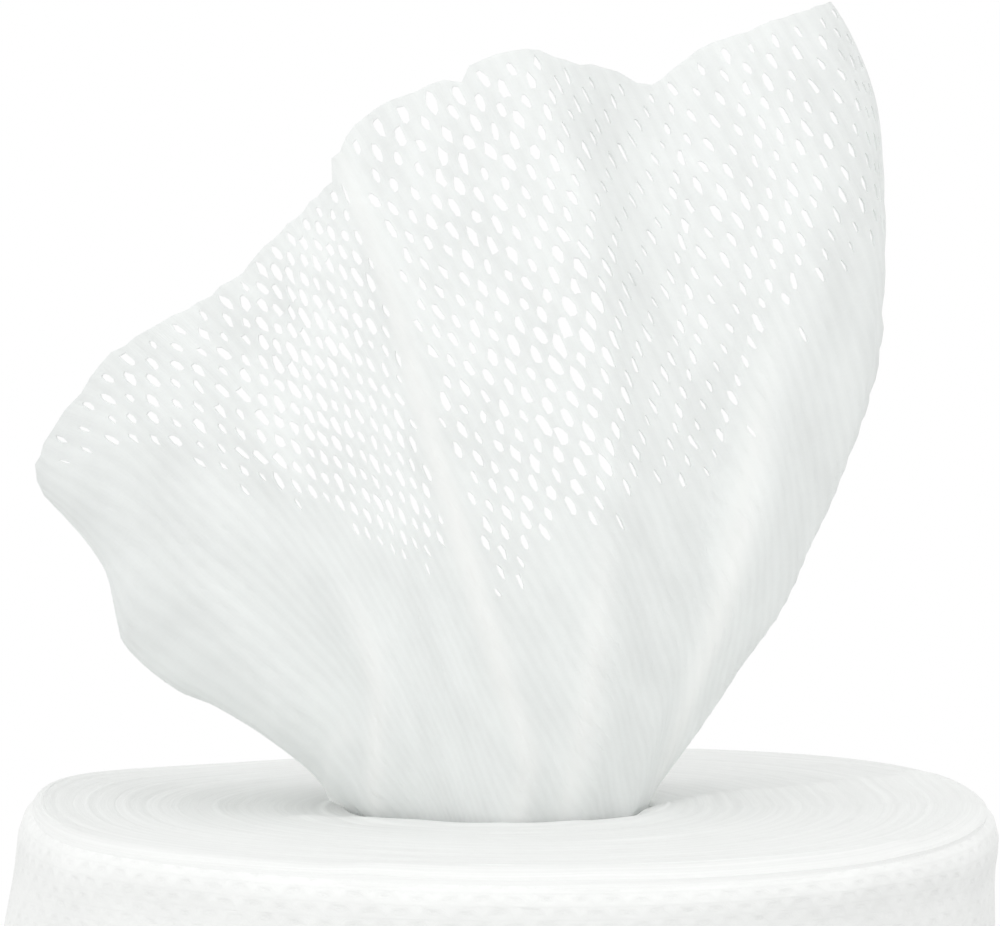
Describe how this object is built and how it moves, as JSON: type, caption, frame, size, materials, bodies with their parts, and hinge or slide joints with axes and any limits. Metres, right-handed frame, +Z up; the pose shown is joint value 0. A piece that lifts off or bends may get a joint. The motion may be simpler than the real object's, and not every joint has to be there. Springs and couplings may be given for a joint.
{
  "type": "roll of nonwoven wipes",
  "caption": "Centre-pull roll of white apertured nonwoven wipes standing on end, with the leading wipe pulled up out of the core hole as a loose fan.",
  "frame": {"origin": "middle of the roll's flat base, on the axis of the core hole", "axes": "+Z up along the core hole, -Y towards the viewer, +X to the viewer's right"},
  "size_m": [0.1303, 0.1306, 0.3049],
  "materials": {
    "wound_web": "matt white viscose and polyester nonwoven, wound tight, embossed with rows of small oval apertures",
    "single_wipe": "one matt white layer of apertured nonwoven, slightly see-through, with a torn upper edge"
  },
  "bodies": {
    "root": {"wound_roll": "wound_web", "leading_wipe": "single_wipe"}
  },
  "joints": []
}
